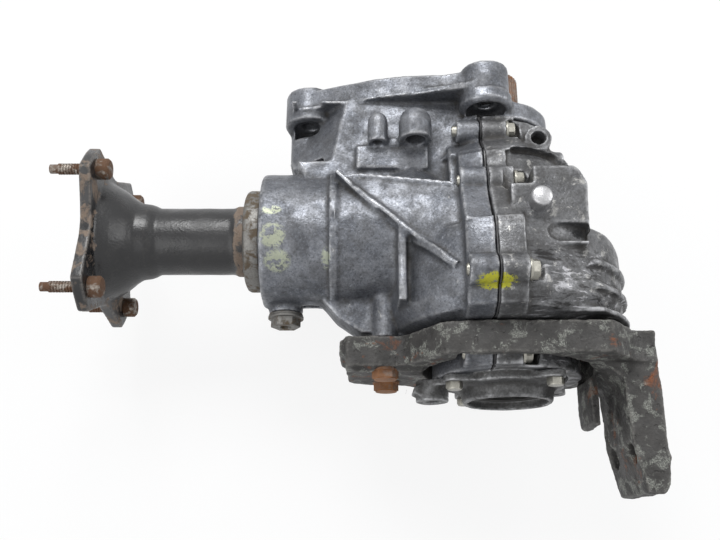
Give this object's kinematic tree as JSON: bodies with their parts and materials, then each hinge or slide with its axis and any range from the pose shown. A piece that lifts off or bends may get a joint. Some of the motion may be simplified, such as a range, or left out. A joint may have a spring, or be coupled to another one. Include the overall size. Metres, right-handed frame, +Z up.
{
  "type": "front differential",
  "caption": "Front axle differential with a long-necked input flange, bolted cover, splined output stub, open output hub, side mount flange and a cast bracket arm.",
  "frame": {"origin": "on the axle line, at the mouth of the right output hub", "axes": "+X forward and away from the input flange, +Y to the vehicle's left along the axle line, +Z up"},
  "size_m": [0.4194, 0.3209, 0.196],
  "materials": {
    "cast_aluminium": "rough cast, grimy",
    "dark_cast_iron": "rough cast, corroded",
    "black_flange": "black, worn, with some rust",
    "dust_shield_steel": "dull",
    "rusty_steel": "rusty",
    "zinc_steel": "dull zinc plate",
    "bright_cap": "satin",
    "gear_steel": "machined, oiled",
    "bearing_steel": "ground",
    "seal_rubber": "matte",
    "gasket": "dark sealant",
    "washer_aluminium": "soft washer"
  },
  "bodies": {
    "housing": {"main_case": "cast_aluminium", "front_cover": "cast_aluminium", "cover_gasket": "gasket", "cover_bolts": "zinc_steel", "pinion_seal": "seal_rubber", "pinion_head_bearing_cup": "bearing_steel", "pinion_tail_bearing_cup": "bearing_steel", "pinion_shim": "bearing_steel", "left_side_bearing_cup": "bearing_steel", "right_side_bearing_cup": "bearing_steel", "left_side_shim": "bearing_steel", "right_side_shim": "bearing_steel", "side_bearing_retainer": "cast_aluminium", "retainer_bolts": "zinc_steel", "left_output_seal": "seal_rubber", "right_output_seal": "seal_rubber", "mount_bracket": "dark_cast_iron", "bracket_bolts": "rusty_steel", "breather_stem": "zinc_steel", "breather_cap": "bright_cap", "filler_plug": "zinc_steel", "filler_plug_washer": "washer_aluminium", "drain_plug": "zinc_steel", "drain_plug_washer": "washer_aluminium"},
    "pinion": {"input_flange": "black_flange", "flange_studs": "zinc_steel", "dust_shield": "dust_shield_steel", "pinion_shaft": "gear_steel", "pinion_nut": "zinc_steel", "pinion_spacer": "bearing_steel", "pinion_head_bearing_cone": "bearing_steel", "pinion_tail_bearing_cone": "bearing_steel"},
    "carrier": {"ring_gear": "gear_steel", "ring_gear_bolts": "zinc_steel", "differential_case": "dark_cast_iron", "cross_pin": "gear_steel", "cross_pin_lock": "gear_steel", "spider_washers": "bearing_steel", "side_gear_washers": "bearing_steel", "left_side_bearing_cone": "bearing_steel", "right_side_bearing_cone": "bearing_steel"},
    "left_output": {"left_side_gear": "gear_steel", "left_output_shaft": "rusty_steel", "left_output_clip": "bearing_steel"},
    "right_output": {"right_side_gear": "gear_steel"},
    "upper_spider": {"upper_spider_gear": "gear_steel"},
    "lower_spider": {"lower_spider_gear": "gear_steel"}
  },
  "joints": [
    {"name": "carrier_spin", "type": "hinge", "parent": "housing", "child": "carrier", "pos_m": [0, 0.1215, 0], "axis": [0, 1, 0], "continuous": true},
    {"name": "pinion_spin", "type": "hinge", "parent": "housing", "child": "pinion", "pos_m": [0, 0.1215, 0], "axis": [1, 0, 0], "continuous": true},
    {"name": "left_output_spin", "type": "hinge", "parent": "carrier", "child": "left_output", "pos_m": [0, 0.1215, 0], "axis": [0, 1, 0], "continuous": true},
    {"name": "right_output_spin", "type": "hinge", "parent": "carrier", "child": "right_output", "pos_m": [0, 0.1215, 0], "axis": [0, 1, 0], "continuous": true},
    {"name": "upper_spider_spin", "type": "hinge", "parent": "carrier", "child": "upper_spider", "pos_m": [0, 0.1215, 0], "axis": [0, 0, 1], "continuous": true},
    {"name": "lower_spider_spin", "type": "hinge", "parent": "carrier", "child": "lower_spider", "pos_m": [0, 0.1215, 0], "axis": [0, 0, 1], "continuous": true}
  ],
  "couplings": [
    {"joint": "pinion_spin", "follows": "carrier_spin", "ratio": -3.3636},
    {"joint": "right_output_spin", "follows": "left_output_spin", "ratio": -1},
    {"joint": "upper_spider_spin", "follows": "left_output_spin", "ratio": -1.6},
    {"joint": "lower_spider_spin", "follows": "left_output_spin", "ratio": 1.6}
  ]
}
